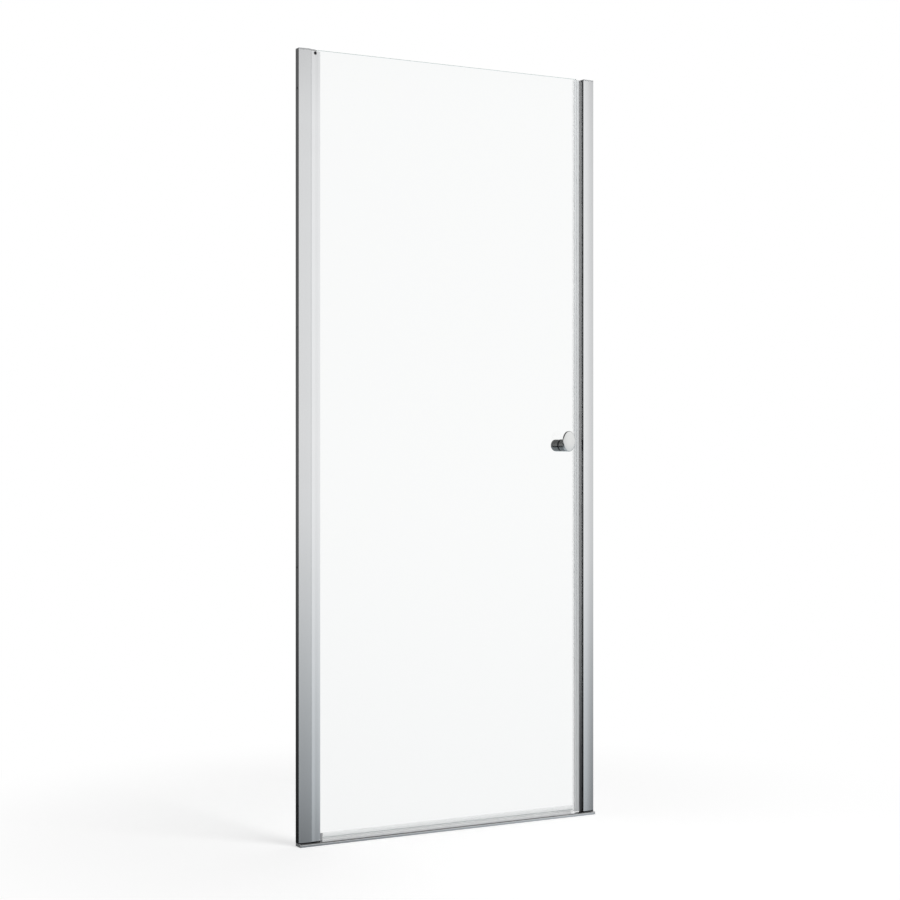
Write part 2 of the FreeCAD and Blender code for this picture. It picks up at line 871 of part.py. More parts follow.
def inner_knob():
    """Round knob on the shower side, with a domed end."""
    knob = knob_rod(knob_radius, inner_start, inner_end)
    knob = knob.makeFillet(inner_knob_round, edges_at(knob, "y", inner_end))
    knob = knob.cut(knob_rod(stud_radius + stud_clearance, inner_start, inner_start + stud_bite))
    y = inner_start + grub_place
    hole = rod(grub_radius + press_gap, V(knob_x, y, knob_z - knob_radius), V(knob_x, y, knob_z))
    return one(knob.cut(hole))


def grub_screw():
    """Set screw in the underside of the inner knob, tight against the stud."""
    y = inner_start + grub_place
    low = V(knob_x, y, knob_z - knob_radius + grub_radius)
    high = V(knob_x, y, knob_z - stud_radius - press_gap)
    body = rod(grub_radius, low, high)
    drive = rod(grub_radius * drive_radius_share, low, low + V(0, 0, grub_radius))
    return one(body.cut(drive))


# ---------------------------------------------------------------------------------------------
# Output
# ---------------------------------------------------------------------------------------------
hinge_profile = wall_profile()
hinge_jamb = jamb()
hinge_pad = foot_pad()

nodes = {
    "hinge_wall_profile": hinge_profile,
    "latch_wall_profile": mirrored(hinge_profile),
    "hinge_jamb": hinge_jamb,
    "latch_jamb": mirrored(hinge_jamb),
    "hinge_wiper_seal": wiper_seal(),
    "strike_gasket": strike_gasket(),
    "strike_magnet": strike_magnet_box(0),
    "hinge_foot_pad": hinge_pad,
    "latch_foot_pad": mirrored(hinge_pad),
    "top_bearing_plate": bearing_plate(),
    "top_bearing_bush": top_bush(),
    "bearing_plate_screws": bearing_plate_screws(),
    "hinge_top_cap": hinge_cap(),
    "latch_top_cap": mirrored(cap_body()),
    "threshold_rail": threshold_rail(),
    "rail_end_caps": rail_end_caps(),
    "bottom_bearing_block": bottom_block(),
    "bottom_bearing_bush": bottom_bush(),
    "bearing_block_screws": bearing_block_screws(),
    "rail_screws": rail_screws(),
    "jamb_screws": jamb_screws(),
    "jamb_screw_covers": jamb_screw_covers(),
    "pivot_profile": pivot_profile(),
    "glass_panel": glass_panel(),
    "front_glazing_gasket": glazing_gasket(-1),
    "rear_glazing_gasket": glazing_gasket(1),
    "glass_setting_block": setting_block(),
    "top_pivot_block": top_plug(),
    "top_pivot_pin": top_pin(),
    "pivot_lock_screw": lock_screw(),
    "bottom_pivot_block": bottom_plug(),
    "bottom_pivot_pin": bottom_pin(),
    "magnetic_seal": magnetic_seal(),
    "door_magnet": door_magnet_box(0),
    "drip_seal": drip_seal(),
    "drip_seal_end": drip_seal_end(),
    "outer_knob_stem": outer_stem(),
    "outer_knob_plate": knob_plate(),
    "knob_plate_screws": knob_plate_screws(),
    "inner_knob": inner_knob(),
    "knob_stud": knob_stud(),
    "knob_sleeve": knob_sleeve(),
    "outer_knob_washer": washer(stem_back),
    "inner_knob_washer": washer(glass_back),
    "knob_grub_screw": grub_screw(),
}

for name, shape in nodes.items():
    save(name, shape)
    print(name, len(shape.Solids), shape.isValid(), round(shape.Volume, 1))
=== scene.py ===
"""Looks of a pivot shower door: aluminium, glass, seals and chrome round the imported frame.

X runs along the door from the hinge wall to the latch wall, -Y faces the bathroom and +Z is up.
"""
import math

import bmesh
import bpy
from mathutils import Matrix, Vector


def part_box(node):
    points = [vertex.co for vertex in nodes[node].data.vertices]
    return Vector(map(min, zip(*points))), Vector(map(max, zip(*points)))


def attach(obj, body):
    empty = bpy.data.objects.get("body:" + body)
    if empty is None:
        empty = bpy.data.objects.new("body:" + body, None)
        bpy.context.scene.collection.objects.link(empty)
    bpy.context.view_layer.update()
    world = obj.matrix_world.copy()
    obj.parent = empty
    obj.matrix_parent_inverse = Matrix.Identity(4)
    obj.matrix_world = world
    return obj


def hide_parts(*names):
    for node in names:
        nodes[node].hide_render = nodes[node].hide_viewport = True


bl_info = {
    "name": "Pivot shower door",
    "version": (1, 0, 0),
    "blender": (4, 5, 0),
    "location": "3D View > Sidebar > Shower Door",
    "description": "Finishes and fine pieces of a pivot shower door in a niche",
    "category": "Object",
}

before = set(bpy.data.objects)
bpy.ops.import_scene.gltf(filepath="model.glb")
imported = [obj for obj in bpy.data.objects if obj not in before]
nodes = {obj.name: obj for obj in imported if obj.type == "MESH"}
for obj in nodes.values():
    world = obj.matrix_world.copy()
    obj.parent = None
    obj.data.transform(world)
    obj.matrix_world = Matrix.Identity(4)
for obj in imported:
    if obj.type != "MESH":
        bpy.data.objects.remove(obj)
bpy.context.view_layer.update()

MM = 0.001

TOUCHING = 0.001 * MM                 # two places nearer than this are one
QUARTER_TURN = math.radians(90.0)
CLEAR_ANGLE = math.radians(40.0)      # an edge sharper than this can be rounded
SMOOTH_ANGLE = math.radians(46.0)     # faces that meet at less are shaded as one surface
FLAT_ANGLE = math.radians(0.4)        # triangles that meet at less are one face
EVEN = (1.0, 1.0, 1.0)                # a pattern that is alike along all three axes
WHITE = (1.0, 1.0, 1.0, 1.0)
ORIGIN = (0.0, 0.0, 0.0)


# ------------------------------------------------------------------------------------------
# Settings that a user would change
# ------------------------------------------------------------------------------------------
def length(name, description, default):
    """A length in metres, shown in the scene's own unit."""
    return bpy.props.FloatProperty(
        name=name, description=description, default=default, unit="LENGTH", precision=5)


def amount(name, description, default, low=0.0, high=1.0):
    """A plain number with its limits."""
    return bpy.props.FloatProperty(
        name=name, description=description, default=default, min=low, max=high, precision=4)


def colour(name, description, default):
    """A colour without alpha."""
    return bpy.props.FloatVectorProperty(
        name=name, description=description, default=default, subtype="COLOR", size=3,
        min=0.0, max=1.0)


def angle(name, description, default):
    """An angle, written in degrees."""
    return bpy.props.FloatProperty(
        name=name, description=description, default=math.radians(default), subtype="ANGLE")


class DoorSizes(bpy.types.PropertyGroup):
    """Small sizes of the pieces that are made here"""
    cap_round: length("Top cap edge", "Radius of the top caps' upper edges", 0.8 * MM)
    pad_round: length("Foot pad edge", "Radius of the foot pads' edges", 0.3 * MM)
    block_round: length("End block edge", "Radius of the drip seal's end block", 0.6 * MM)
    rail_cap_round: length("Rail cap edge", "Radius of the rail caps' outer edges", 0.5 * MM)
    gasket_round: length("Strike gasket edge", "Radius of the gasket's corners", 0.6 * MM)
    glass_arris: length("Glass arris", "Width of the pane's ground edge", 0.7 * MM)
    seal_wall: length("Magnetic seal wall", "Thickness of the vinyl", 0.8 * MM)
    drip_wall: length("Drip seal wall", "Thickness of the vinyl", 0.9 * MM)
    seal_grip: length("Seal grip", "From the middle of the glass to a seal's leg", 3.5 * MM)
    seal_round: length("Seal edge", "Radius of the clear seals' edges", 0.38 * MM)
    screw_round: length("Lock screw edge", "Radius of the lock screw's rim", 0.5 * MM)
    knob_crown: length("Knob crown", "How far the oval plate bulges", 0.9 * MM)
    knob_rim: length("Knob rim", "Radius of the oval plate's edge", 1.3 * MM)


class DoorFinishes(bpy.types.PropertyGroup):
    """Colours of the door's materials"""
    metal: colour("Profiles", "Silver anodised aluminium", (0.93, 0.94, 0.95))
    metal_gloss: amount("Profile roughness", "How blurred the profiles' reflections are", 0.11)
    glass: colour("Glass", "Tint of the pane seen face on", (0.962, 0.970, 0.968))
    glass_edge: colour("Glass edge", "Tint of the pane's polished edges", (0.62, 0.74, 0.71))
    seal: colour("Clear seals", "Translucent soft vinyl", (0.80, 0.82, 0.83))
    seal_thin: amount("Seal lips", "How much the thin lips of the clear seals hide", 0.08)
    seal_thick: amount("Seal body", "How much the drip seal's fin hides", 0.24)
    seal_box: amount("Seal box", "How much the magnetic seal's box hides", 0.95)
    seal_bead: amount("Glazing bead", "How much the glazing gaskets hide", 0.30)
    gasket: colour("Dark gaskets", "Dark grey vinyl of the strike side", (0.022, 0.023, 0.026))
    lock: colour("Lock screw", "Blackened steel", (0.05, 0.05, 0.052))
    black: colour("Black plastic", "Foot pads and pivot blocks", (0.012, 0.012, 0.013))
    grey: colour("Grey plastic", "Caps and end blocks", (0.50, 0.51, 0.52))
    steel: colour("Steel", "Pins, plates and screws", (0.60, 0.60, 0.59))
    chrome: colour("Chrome", "Knob set", (0.88, 0.89, 0.88))


class DoorStage(bpy.types.PropertyGroup):
    """Camera, floor and light"""
    camera_x: length("Camera X", "Sideways place of the camera", -2.3883)
    camera_y: length("Camera Y", "Distance of the camera in front", -4.2872)
    camera_z: length("Camera height", "Height of the camera", 1.0065)
    camera_turn: angle("Camera turn", "How far the camera looks to the right", 29.1)
    lens: bpy.props.FloatProperty(
        name="Lens", description="Focal length in millimetres", default=74.97, unit="CAMERA")
    shift: amount("Vertical shift", "Lens shift as a share of the picture", -0.0058, -0.1, 0.1)
    floor: colour("Floor", "Pale floor", (0.62, 0.62, 0.62))
    floor_size: length("Floor size", "Side of the floor", 60.0)
    floor_fill: amount("Floor fill", "How far the shadow on the floor is lifted", 0.64)
    sky: amount("Room level", "Brightness of the soft room light", 0.885, 0.0, 5.0)
    top_level: amount("Ceiling level", "Light from high in front, as a share", 0.12)
    low_level: amount("Low level", "Room light below the horizon, as a share", 0.44)
    low_hue: colour("Low hue", "Colour of the room light below the horizon", (0.86, 0.94, 1.0))
    card_level: amount("Card level", "Light from the dark card at the back left, as a share", 0.14)
    key_power: bpy.props.FloatProperty(
        name="Key light", description="Power of the large soft lamp", default=120.0, unit="POWER")
    key_size: length("Key size", "Side of the large soft lamp", 2.4)


# ------------------------------------------------------------------------------------------
# Shader expressions
# ------------------------------------------------------------------------------------------
class Value:
    """One shader socket. Arithmetic on it adds Math nodes."""

    def __init__(self, tree, socket):
        self.tree = tree
        self.socket = socket

    def math(self, operation, *others):
        values = dict(enumerate((self,) + others))
        return self.tree.add("ShaderNodeMath", {"operation": operation}, values)

    def flipped(self, operation, other):
        return self.tree.add("ShaderNodeMath", {"operation": operation}, {0: other, 1: self})

    def __add__(self, other):
        return self.math("ADD", other)

    def __sub__(self, other):
        return self.math("SUBTRACT", other)

    def __mul__(self, other):
        return self.math("MULTIPLY", other)

    def __truediv__(self, other):
        return self.math("DIVIDE", other)

    def __rsub__(self, other):
        return self.flipped("SUBTRACT", other)

    __radd__ = __add__
    __rmul__ = __mul__

    def clamped(self):
        return self.tree.add("ShaderNodeClamp", {}, {"Value": self})

    def between(self, low, high):
        """0 below low, 1 above high, smooth in between."""
        settings = {"interpolation_type": "SMOOTHSTEP"}
        values = {"Value": self, "From Min": low, "From Max": high}
        return self.tree.add("ShaderNodeMapRange", settings, values)


class Tree:
    """The node tree of a material or of the world."""

    def __init__(self, owner):
        owner.use_nodes = True
        self.nodes = owner.node_tree.nodes
        self.links = owner.node_tree.links
        self.nodes.clear()

    def add(self, kind, settings=None, values=None, output=0):
        """A node with its settings first, then the numbers or links of its sockets.

        It returns the output that is asked for, or a list where a tuple of them is.
        """
        node = self.nodes.new(kind)
        for name, setting in (settings or {}).items():
            setattr(node, name, setting)
        for name, value in (values or {}).items():
            socket = node.inputs[name]
            if isinstance(value, Value):
                self.links.new(value.socket, socket)
            else:
                socket.default_value = value
        if isinstance(output, tuple):
            return [Value(self, node.outputs[name]) for name in output]
        return Value(self, node.outputs[output]) if node.outputs else None

    def place(self):
        """Object coordinates."""
        return self.add("ShaderNodeTexCoord", output="Object")

    def axes(self, vector):
        """The X, Y and Z of a vector."""
        return self.add("ShaderNodeSeparateXYZ", {}, {0: vector}, ("X", "Y", "Z"))

    def stretched(self, scale):
        """Object coordinates with its own scale along each axis."""
        return self.add("ShaderNodeMapping", {}, {"Vector": self.place(), "Scale": scale})

    def noise(self, scale, density, detail):
        """Noise from 0 to 1, stretched by scale."""
        values = {"Vector": self.stretched(scale), "Scale": density, "Detail": detail}
        return self.add("ShaderNodeTexNoise", {}, values)

    def mixed(self, factor, first, second):
        """A blend of two colours."""
        colour_a, colour_b, colour_result = 6, 7, 2
        values = {"Factor": factor, colour_a: first, colour_b: second}
        return self.add("ShaderNodeMix", {"data_type": "RGBA"}, values, colour_result)

    def looked_at(self):
        """1 for what the eye sees, straight or through glass, and 0 for all other light."""
        seen, through, mirrors = self.add("ShaderNodeLightPath", output=(
            "Is Camera Ray", "Is Transmission Ray", "Glossy Depth"))
        return seen.math("MAXIMUM", through) * (1 - mirrors.clamped())

    def bump(self, height, depth):
        """A surface that rises by depth where the height is 1."""
        return self.add("ShaderNodeBump", {}, {"Height": height, "Distance": depth})

    def principled(self, values):
        """One plain surface shader, joined to the material's output."""
        self.finish(self.add("ShaderNodeBsdfPrincipled", {}, values))

    def finish(self, shader):
        self.add("ShaderNodeOutputMaterial", {}, {"Surface": shader})


def new_material(name):
    material = bpy.data.materials.new(name)
    return material, Tree(material)


def opaque(base):
    """A colour as the four numbers of a colour socket."""
    return (base[0], base[1], base[2], 1.0)


def dimmed(base, share):
    """A colour that has lost a share of its light."""
    return opaque([channel * (1 - share) for channel in base])


def mixed_shader(tree, factor, first, second):
    """A blend of two shaders."""
    return tree.add("ShaderNodeMixShader", {}, {0: factor, 1: first, 2: second})


def tinted(tree, base, share, variation):
    """A colour made a little darker where the variation is high."""
    return tree.mixed(variation, opaque(base), dimmed(base, share))


# ------------------------------------------------------------------------------------------
# Materials
# ------------------------------------------------------------------------------------------
def aluminium(name, along):
    """Silver anodised profile, with fine draw lines along it."""
    look = bpy.context.scene.door_finishes
    material, tree = new_material(name)
    drawn_out = tuple(0.012 if axis == along else 1.0 for axis in "XYZ")
    lines = tree.noise(drawn_out, density=2600.0, detail=2.0)
    cloud = tree.noise(EVEN, density=9.0, detail=2.0)
    tree.principled({
        "Base Color": tinted(tree, look.metal, 0.04, cloud),
        "Metallic": 1.0,
        "Roughness": look.metal_gloss + (lines - 0.5) * 0.05 + (cloud - 0.5) * 0.03,
        "Normal": tree.bump(lines, depth=0.004 * MM),
    })
    return material


def plastic(name, base, roughness, grain):
    """Moulded plastic with a fine spark-eroded grain."""
    material, tree = new_material(name)
    speck = tree.noise(EVEN, density=1800.0, detail=3.0)
    cloud = tree.noise(EVEN, density=30.0, detail=2.0)
    tree.principled({
        "Base Color": tinted(tree, base, 0.10, cloud),
        "Roughness": roughness + (speck - 0.5) * 0.12,
        "Normal": tree.bump(speck, depth=grain),
    })
    return material


def pane_glass(name):
    """Clear toughened glass, with its cut edges a little green."""
    look = bpy.context.scene.door_finishes
    material, tree = new_material(name)
    low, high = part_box("glass_panel")
    x, y, z = tree.axes(tree.place())
    rim, face = 0.4 * MM, 0.8 * MM
    inside = 1.0
    for along, first, last in ((x, low.x, high.x), (z, low.z, high.z)):
        past_first = along.between(first + rim, first + face)
        inside = inside * past_first * (1 - along.between(last - face, last - rim))
    streak = tree.noise((1.0, 1.0, 0.25), density=5.0, detail=4.0)
    glass = tree.add("ShaderNodeBsdfPrincipled", {}, {
        "Base Color": tree.mixed(1 - inside, opaque(look.glass), opaque(look.glass_edge)),
        "Roughness": streak.between(0.45, 0.9) * 0.012,
        "IOR": 1.5,
        "Transmission Weight": 1.0,
    })
    shadow = tree.add("ShaderNodeLightPath", output="Is Shadow Ray")
    passing = tree.add("ShaderNodeBsdfTransparent", {}, {"Color": opaque(look.glass)})
    tree.finish(mixed_shader(tree, shadow, glass, passing))
    return material


def clear_vinyl(name, base, hides, core=None):
    """Soft clear seal.

    Hides gives, from the x, y and z of a point, how much of what is behind stays hidden. Core
    gives how plainly the dark magnet shows there.
    """
    material, tree = new_material(name)
    place = tree.axes(tree.place())
    cloud = tree.noise(EVEN, density=60.0, detail=3.0)
    skin = tinted(tree, base, 0.06, cloud)
    if core:
        skin = tree.mixed(core(*place), skin, dimmed(base, 0.38))
    tree.principled({
        "Base Color": skin,
        "Roughness": 0.20 + (cloud - 0.5) * 0.08,
        "Alpha": hides(*place),
        "Coat Weight": 0.2,
        "Normal": tree.bump(cloud, depth=0.05 * MM),
    })
    return material


def glossy_gasket(name, base):
    """Dark coextruded gasket whose coat is painted fainter towards the foot as painted shade."""
    material, tree = new_material(name)
    height = tree.axes(tree.place())[2]
    cloud = tree.noise((1.0, 1.0, 0.1), density=40.0, detail=3.0)
    # Painted shade: below this height the coat thins out, so the foot reflects less and looks
    # darker
    foot_coat_painted_shade, painted_shade_top = 0.15, 0.65
    tree.principled({
        "Base Color": tinted(tree, base, 0.2, cloud),
        "Roughness": 0.30 + (cloud - 0.5) * 0.06,
        "Coat Weight": height.between(0.0, painted_shade_top) * (1 - foot_coat_painted_shade) + foot_coat_painted_shade,
        "Coat Roughness": 0.08,
        "Coat IOR": 3.0,
    })
    return material


def polished(name, base, roughness):
    """Chrome plate or bright steel, with the faintest polishing marks."""
    material, tree = new_material(name)
    cloud = tree.noise(EVEN, density=45.0, detail=2.0)
    marks = tree.noise((1.0, 8.0, 1.0), density=900.0, detail=3.0)
    tree.principled({
        "Base Color": tinted(tree, base, 0.05, cloud),
        "Metallic": 1.0,
        "Roughness": roughness + (marks - 0.5) * 0.03,
        "Normal": tree.bump(marks, depth=0.002 * MM),
    })
    return material


def give(material, *names):
    """Puts one material on CAD nodes."""
    for name in names:
        mesh = nodes[name].data
        mesh.materials.clear()
        mesh.materials.append(material)


# ------------------------------------------------------------------------------------------
# Shaping
# ------------------------------------------------------------------------------------------
def choose(*pieces):
    """Selects only these pieces, in object mode, with the first one active."""
    if bpy.context.mode != "OBJECT":
        bpy.ops.object.mode_set(mode="OBJECT")
    bpy.ops.object.select_all(action="DESELECT")
    for piece in pieces:
        piece.select_set(True)
    bpy.context.view_layer.objects.active = pieces[0]


def placed(piece, name):
    """Names a primitive that has just been added, and puts its place into its mesh."""
    piece.name = name
    bpy.ops.object.transform_apply(location=True, rotation=True, scale=True)
    return piece


def edit(piece, action="DESELECT"):
    """Opens one piece in edit mode, with nothing or all in it selected."""
    choose(piece)
    bpy.ops.object.mode_set(mode="EDIT")
    bpy.ops.mesh.select_all(action=action)


def close_edit():
    bpy.ops.object.mode_set(mode="OBJECT")


def pick(piece, kind, test):
    """Selects only the vertices, edges or faces that pass a test."""
    bpy.ops.mesh.select_mode(type=kind)
    bpy.ops.mesh.select_all(action="DESELECT")
    shape = bmesh.from_edit_mesh(piece.data)
    items = {"VERT": shape.verts, "EDGE": shape.edges, "FACE": shape.faces}[kind]
    for item in items:
        if test(item):
            item.select_set(True)
    shape.select_flush_mode()
    bmesh.update_edit_mesh(piece.data)


def middle(item):
    """Where an edge or face has its centre."""
    return sum((corner.co for corner in item.verts), Vector()) / len(item.verts)


def sharp(edge):
    """True for the edge between two faces that meet at a clear angle."""
    return len(edge.link_faces) == 2 and edge.calc_face_angle(0.0) > CLEAR_ANGLE


def at_depth(depth):
    """A test for what lies in one upright plane across Y."""
    return lambda item: abs(middle(item).y - depth) < TOUCHING


def move(step):
    bpy.ops.transform.translate(value=step)


def stretch(factors, centre=ORIGIN):
    bpy.ops.transform.resize(value=factors, center_override=centre)


def extrude(step):
    bpy.ops.mesh.extrude_region_move(TRANSFORM_OT_translate={"value": step})


def fill_at(piece, depth):
    """Closes the open ring of edges that lies in one upright plane across Y."""
    pick(piece, "EDGE", at_depth(depth))
    bpy.ops.mesh.edge_face_add()


def turn_outwards():
    """Points all the faces of the piece in hand outwards, and leaves edit mode."""
    bpy.ops.mesh.select_all(action="SELECT")
    bpy.ops.mesh.normals_make_consistent(inside=False)
    close_edit()


def soften(piece, radius, segments, test=sharp):
    """Rounds the edges that pass a test."""
    edit(piece)
    pick(piece, "EDGE", test)
    bpy.ops.mesh.bevel(offset=radius, segments=segments, affect="EDGES", clamp_overlap=True,
                       loop_slide=False)
    close_edit()


def modified(piece, kind, **settings):
    """Adds a modifier to a piece and applies it."""
    modifier = piece.modifiers.new(kind.lower(), kind)
    for name, value in settings.items():
        setattr(modifier, name, value)
    bpy.ops.object.modifier_apply(modifier=modifier.name)


def done(piece, material, slot, body, *replaced):
    """Closes a finished piece: its shading, material, body and what it stands for. The slot is not
    used.
    """
    choose(piece)
    bpy.ops.object.shade_smooth_by_angle(angle=SMOOTH_ANGLE)
    modified(piece, "WEIGHTED_NORMAL", mode="FACE_AREA", weight=100, keep_sharp=True)
    piece.data.materials.clear()
    piece.data.materials.append(material)
    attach(piece, body)
    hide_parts(*replaced)


def copied(node, name):
    """A node's shape as a new piece, with its loose triangles joined into whole faces."""
    piece = bpy.data.objects.new(name, nodes[node].data.copy())
    bpy.context.scene.collection.objects.link(piece)
    edit(piece, "SELECT")
    bpy.ops.mesh.remove_doubles(threshold=2 * TOUCHING)
    bpy.ops.mesh.dissolve_limited(angle_limit=FLAT_ANGLE)
    bpy.ops.mesh.customdata_custom_splitnormals_clear()
    close_edit()
    return piece


def folded(name, along, low, high, path, closed=False):
    """A thin sheet that runs from low to high along one axis, folded along a path.

    The path is a list of (x, y) points for an upright sheet and (y, z) points for a level one.
    One edge of a plane, a metre long, is kept. It is stretched to the sheet's length, moved to
    the first point and extruded from point to point.
    """
    upright = along == "Z"
    side, half = 1.0, 0.5
    bpy.ops.object.select_all(action="DESELECT")
    bpy.ops.mesh.primitive_plane_add(
        size=side, rotation=(QUARTER_TURN, 0.0, 0.0) if upright else ORIGIN)
    piece = placed(bpy.context.object, name)
    edit(piece)
    axis = 0 if upright else 1
    pick(piece, "VERT", lambda vertex: vertex.co[axis] > 0)
    bpy.ops.mesh.delete(type="VERT")
    bpy.ops.mesh.select_all(action="SELECT")
    if upright:
        points = [Vector((x, y, 0.0)) for x, y in path]
        stretch((1.0, 1.0, high - low))
        start = Vector((half, 0.0, (low + high) / 2))
    else:
        points = [Vector((0.0, y, z)) for y, z in path]
        stretch((high - low, 1.0, 1.0))
        start = Vector(((low + high) / 2, half, 0.0))
    move(points[0] + start)
    bpy.ops.mesh.select_mode(type="EDGE")
    bpy.ops.mesh.select_all(action="SELECT")
    if closed:
        points = points + points[:1]
    for here, there in zip(points, points[1:]):
        extrude(there - here)
    bpy.ops.mesh.select_all(action="SELECT")
    bpy.ops.mesh.remove_doubles(threshold=TOUCHING)
    close_edit()
    return piece


def joined(first, *others):
    """One piece made of several."""
    choose(first, *others)
    bpy.ops.object.join()
    return first


def thickened(piece, wall, edge_radius):
    """Gives a folded sheet its wall and rounds the wall's edges."""
    modified(piece, "SOLIDIFY", thickness=wall, offset=0.0, use_even_offset=True)
    modified(piece, "BEVEL", width=edge_radius, segments=3, limit_method="ANGLE",
             angle_limit=math.radians(50.0))


# ------------------------------------------------------------------------------------------
# Operators: one for each group of pieces
# ------------------------------------------------------------------------------------------
class DOOR_OT_stage(bpy.types.Operator):
    """Makes the camera, the floor, the room light, the lamp and the flag"""
    bl_idname = "door.stage"
    bl_label = "Stage"

    def execute(self, context):
        stage = context.scene.door_stage
        self.camera(context, stage)
        self.floor(stage)
        self.room(context, stage)
        self.lamp(context, stage)
        self.flag()
        context.scene.view_settings.view_transform = "Standard"
        return {"FINISHED"}

    def camera(self, context, stage):
        data = bpy.data.cameras.new("camera")
        data.lens = stage.lens
        data.shift_y = stage.shift
        data.clip_end = 200.0
        camera = bpy.data.objects.new("camera", data)
        context.scene.collection.objects.link(camera)
        camera.location = (stage.camera_x, stage.camera_y, stage.camera_z)
        camera.rotation_euler = (QUARTER_TURN, 0.0, -stage.camera_turn)
        context.scene.camera = camera

    def floor(self, stage):
        """Pale round the door, where it holds the shadow, and white further out.

        A mirrored ray passes through it, so that metal reflects the room below the horizon.
        """
        bpy.ops.mesh.primitive_plane_add(size=stage.floor_size, location=ORIGIN)
        floor = bpy.context.object
        floor.name = "floor"
        material, tree = new_material("floor")
        x, y, z = tree.axes(tree.place())
        from_door = (x * x + y * y).math("SQRT")
        matt = tree.add("ShaderNodeBsdfDiffuse", {}, {"Color": opaque(stage.floor)})
        white = tree.add("ShaderNodeEmission", {}, {"Color": WHITE, "Strength": 1.0})
        fill = tree.add("ShaderNodeEmission", {}, {"Color": WHITE, "Strength": stage.floor_fill})
        near = tree.add("ShaderNodeAddShader", {}, {0: matt, 1: fill})
        shown = mixed_shader(tree, from_door.between(0.5, 1.6), near, white)
        solid = mixed_shader(tree, tree.looked_at(), matt, shown)
        mirrored = tree.add("ShaderNodeLightPath", output="Is Glossy Ray")
        nothing = tree.add("ShaderNodeBsdfTransparent")
        tree.finish(mixed_shader(tree, mirrored, solid, nothing))
        floor.data.materials.append(material)

    def room(self, context, stage):
        """White behind the door for the eye, and a soft studio room for light and reflections."""
        world = bpy.data.worlds.new("room")
        context.scene.world = world
        tree = Tree(world)
        x, y, z = tree.axes(tree.add("ShaderNodeTexCoord", output="Generated"))
        low = z.between(-0.30, 0.0)
        level = self.studio(stage, x, y, z, low)
        direct = tree.looked_at()
        cool = tree.mixed(low, opaque(stage.low_hue), WHITE)
        background = tree.add("ShaderNodeBackground", {}, {
            "Color": tree.mixed(direct, cool, WHITE),
            "Strength": direct + (1 - direct) * level,
        })
        tree.add("ShaderNodeOutputWorld", {}, {"Surface": background})

    def studio(self, stage, x, y, z, low):
        """The room's light from one direction, x, y and z, as a share of white.

        Low is 1 at the horizon and above, and falls to 0 well below it.
        """
        across = (1 - z * z).math("MAXIMUM", 0.001).math("SQRT")

        # A dark card stands at the back left. Steep directions below it see less of it.
        card_x, card_y = -0.486, 0.874
        toward_card = (x * card_x + y * card_y) / across
        card = (toward_card + z * z * 1.5).between(0.94, 0.985)
        card = card * (z.between(-0.31, -0.23) * 0.6 + 0.4)
        card_light = (low * 0.85 + 0.15) * stage.card_level

        # The rest of the back wall loses less light downwards than the front does.
        sink = 1 - y.between(0.4, 0.8) * (1 - card) * 0.7
        level = 1 - (1 - low) * sink * (1 - stage.low_level)
        below_foot = 1 - z.between(-0.225, -0.185)
        level = level * (1 - below_foot * sink * 0.55)

        # The ceiling in front is dark.
        ceiling = z.between(0.165, 0.34) * (1 - y.between(-0.1, 0.3))
        level = level * (1 - ceiling * (1 - stage.top_level))

        # A bright panel stands on the right, with a shallow dip across it.
        side = x / across
        dip = side.between(0.57, 0.72) * (1 - side.between(0.78, 0.92)) * 0.35
        panel = side.between(0.35, 0.52) * (1 - dip)
        contrast = 0.15 + (1 - low) * sink * 0.40
        level = level * (1 - contrast * (1 - panel))
        level = level * (1 - card * (1 - card_light)) * stage.sky

        # Steeply down lies the pale floor.
        down = z * -1
        pale = down.between(0.30, 0.50) * (1 - y.between(0.0, 0.3))
        pale = pale.math("MAXIMUM", down.between(0.55, 0.75))
        return level * (1 - pale) + pale * 0.6

    def flag(self):
        """A dark flag beside the latch side, seen only in the latch profile's shine."""
        left, right, low, high, ahead = 0.60, 1.00, -0.3, 2.5, 0.30
        bpy.ops.mesh.primitive_plane_add(size=1.0, rotation=(QUARTER_TURN, 0.0, 0.0))
        flag = placed(bpy.context.object, "flag")
        edit(flag, "SELECT")
        stretch((right - left, 1.0, high - low))
        move(((left + right) / 2, -ahead, (low + high) / 2))
        close_edit()
        material, tree = new_material("flag")
        x, y, z = tree.axes(tree.place())
        fade = ((x - left) / 0.17).clamped()
        cover = fade * (0.64 - z.between(-0.1, 0.8) * 0.33)
        nothing = tree.add("ShaderNodeBsdfTransparent")
        dark = tree.add("ShaderNodeEmission", {}, {"Color": WHITE, "Strength": 0.05})
        tree.finish(mixed_shader(tree, cover, nothing, dark))
        flag.data.materials.append(material)
        flag.visible_camera = False
        flag.visible_diffuse = False
        flag.visible_transmission = False
        flag.visible_shadow = False

    def lamp(self, context, stage):
        data = bpy.data.lights.new("key", "AREA")
        data.energy = stage.key_power
        data.size = stage.key_size
        data.shape = "SQUARE"
        lamp = bpy.data.objects.new("key", data)
        context.scene.collection.objects.link(lamp)
        lamp.visible_glossy = False
        lamp.visible_transmission = False
        place, target = Vector((1.2, -3.4, 3.4)), Vector((0.0, 0.0, 1.2))
        lamp.location = place
        lamp.rotation_euler = (target - place).to_track_quat("-Z", "Y").to_euler()


class DOOR_OT_profiles(bpy.types.Operator):
    """Finishes the wall profiles, jambs and stile in silver aluminium"""
    bl_idname = "door.profiles"
    bl_label = "Profiles"

    def execute(self, context):
        give(aluminium("aluminium_upright", "Z"), "hinge_wall_profile", "latch_wall_profile",
             "hinge_jamb", "latch_jamb", "pivot_profile")
        return {"FINISHED"}


